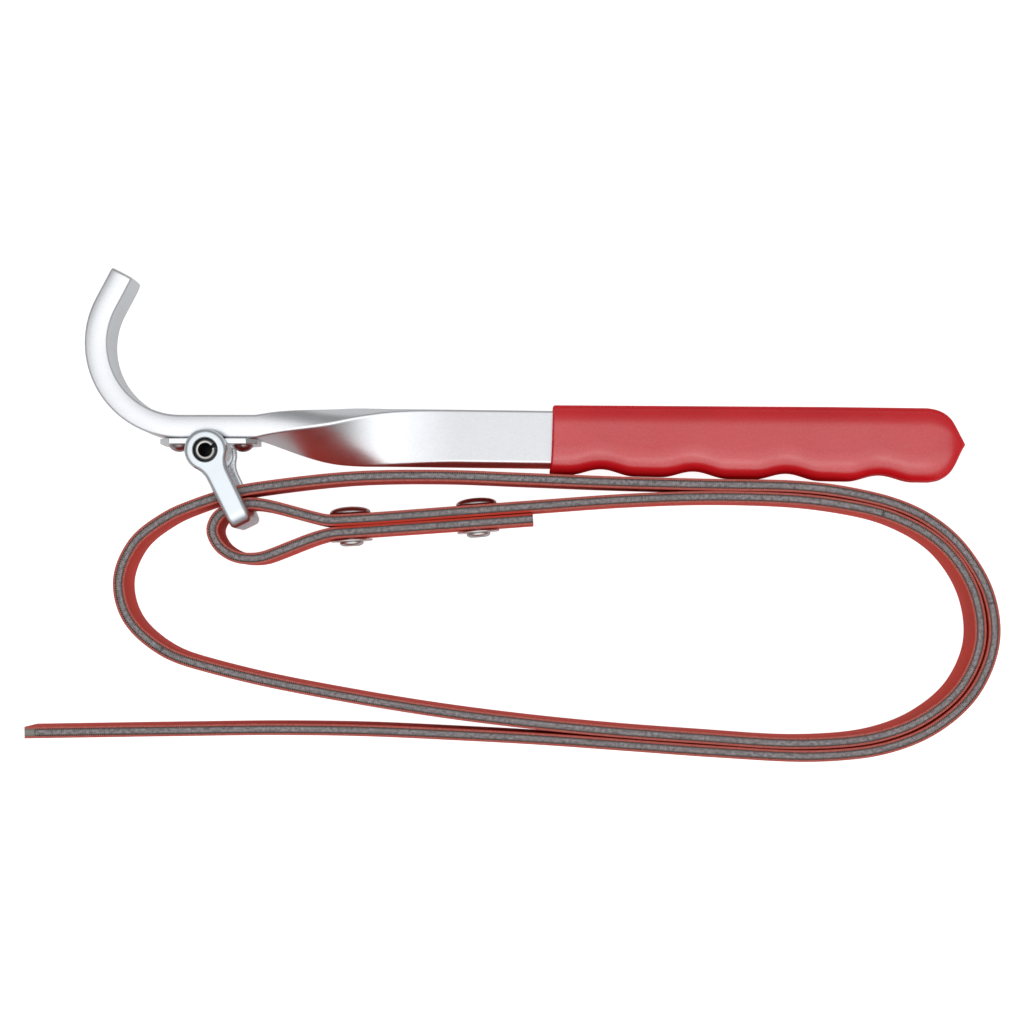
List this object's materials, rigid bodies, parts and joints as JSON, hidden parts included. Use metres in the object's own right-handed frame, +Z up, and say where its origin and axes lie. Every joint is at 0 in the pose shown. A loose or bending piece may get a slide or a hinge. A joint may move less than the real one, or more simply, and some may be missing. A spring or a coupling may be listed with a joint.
{
  "type": "strap-type oil filter wrench",
  "caption": "Oil filter wrench with a hooked steel handle, a dipped grip, a swinging stirrup and a long laminated strap with a riveted eye.",
  "frame": {"origin": "middle of the tool's outline in plan, on the bench it lies on", "axes": "+X along the handle towards the end of the grip, +Y towards the tip of the hook, +Z up from the bench, along the stirrup's pin"},
  "size_m": [0.3324, 0.1688, 0.0308],
  "materials": {
    "satin_steel": "satin plated",
    "red_grip": "glossy dipped vinyl",
    "zinc_plate": "bright zinc",
    "dark_spring_steel": "black oxide",
    "rivet_steel": "polished",
    "nickel_plate": "nickel",
    "red_rubber": "matt with a fine grain",
    "ply_fabric": "cord showing at the cut edge",
    "grey_core": "matt cut edge"
  },
  "bodies": {
    "handle": {"handle_bar": "satin_steel", "grip_sleeve": "red_grip", "saddle_bracket": "zinc_plate", "bracket_rivet_hook_side": "rivet_steel", "bracket_rivet_grip_side": "rivet_steel"},
    "stirrup": {"stirrup": "zinc_plate", "spring_pin": "dark_spring_steel"},
    "strap": {"strap_outer_cover": "red_rubber", "strap_outer_ply": "ply_fabric", "strap_core": "grey_core", "strap_inner_ply": "ply_fabric", "strap_inner_cover": "red_rubber", "strap_rivet_eye_side": "rivet_steel", "strap_rivet_end_side": "rivet_steel", "rivet_washer_eye_side": "nickel_plate", "rivet_washer_end_side": "nickel_plate"}
  },
  "joints": [
    {"name": "stirrup_swing", "type": "hinge", "parent": "handle", "child": "stirrup", "pos_m": [-0.10398, 0.02163, 0.0154], "axis": [0, 0, 1], "range_deg": [-45, 0]},
    {"name": "strap_swivel", "type": "hinge", "parent": "stirrup", "child": "strap", "pos_m": [-0.08998, 0.00153, 0.0154], "axis": [0, 0, 1], "range_deg": [-15, 0]}
  ]
}
